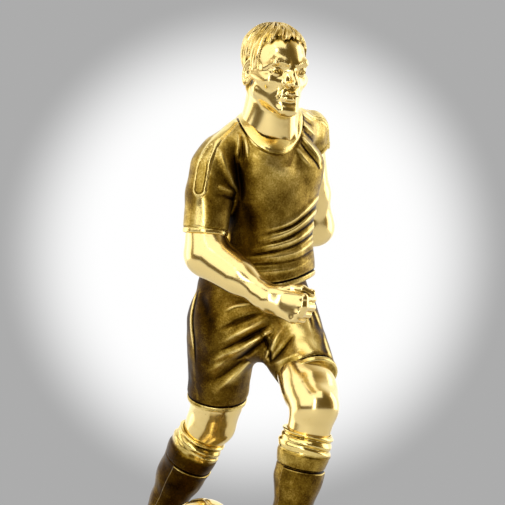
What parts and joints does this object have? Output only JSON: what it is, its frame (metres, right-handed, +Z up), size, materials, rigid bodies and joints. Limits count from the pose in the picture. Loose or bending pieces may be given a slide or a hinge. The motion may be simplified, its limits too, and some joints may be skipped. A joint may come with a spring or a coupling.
{
  "type": "figure trophy",
  "caption": "Running footballer with a ball, cast in brass with polished skin and patinated kit, on a stepped stone plinth with a blank name plate.",
  "frame": {"origin": "centre of the plinth's underside, on the surface that the trophy stands on", "axes": "+Z up through the figure; -Y out of the plinth's front, where the name plate is; +X to the right of a viewer in front"},
  "size_m": [0.14, 0.128, 0.3],
  "materials": {
    "polished_brass": "polished and gilt, with tooling marks left faintly showing",
    "patinated_brass": "brown antique patina in the hollows, rubbed back to gold on the high places",
    "green_stone": "polished serpentine with pale veins",
    "black_stone": "polished black dolerite",
    "felt": "green baize",
    "steel": "zinc plated"
  },
  "bodies": {
    "root": {"head_casting": "polished_brass", "jersey_casting": "patinated_brass", "right_arm_casting": "polished_brass", "left_arm_casting": "polished_brass", "shorts_casting": "patinated_brass", "right_knee_casting": "polished_brass", "right_sock_casting": "patinated_brass", "right_boot_casting": "patinated_brass", "left_knee_casting": "polished_brass", "left_sock_casting": "patinated_brass", "left_boot_casting": "patinated_brass", "ball_casting": "polished_brass", "neck_pin": "steel", "right_arm_pin": "steel", "left_arm_pin": "steel", "right_thigh_pin": "steel", "left_thigh_pin": "steel", "right_sock_pin": "steel", "left_sock_pin": "steel", "right_boot_pin": "steel", "left_boot_pin": "steel", "waist_screw_right": "steel", "waist_screw_left": "steel", "turf_plate": "patinated_brass", "plinth_block": "green_stone", "plinth_slab": "black_stone", "felt_pad": "felt", "name_plate": "polished_brass", "name_plate_pin_right": "polished_brass", "name_plate_pin_left": "polished_brass", "right_boot_stud": "steel", "right_boot_washer": "steel", "right_boot_nut": "steel", "left_boot_stud": "steel", "left_boot_washer": "steel", "left_boot_nut": "steel", "ball_stud": "steel", "ball_washer": "steel", "ball_nut": "steel"}
  },
  "joints": []
}
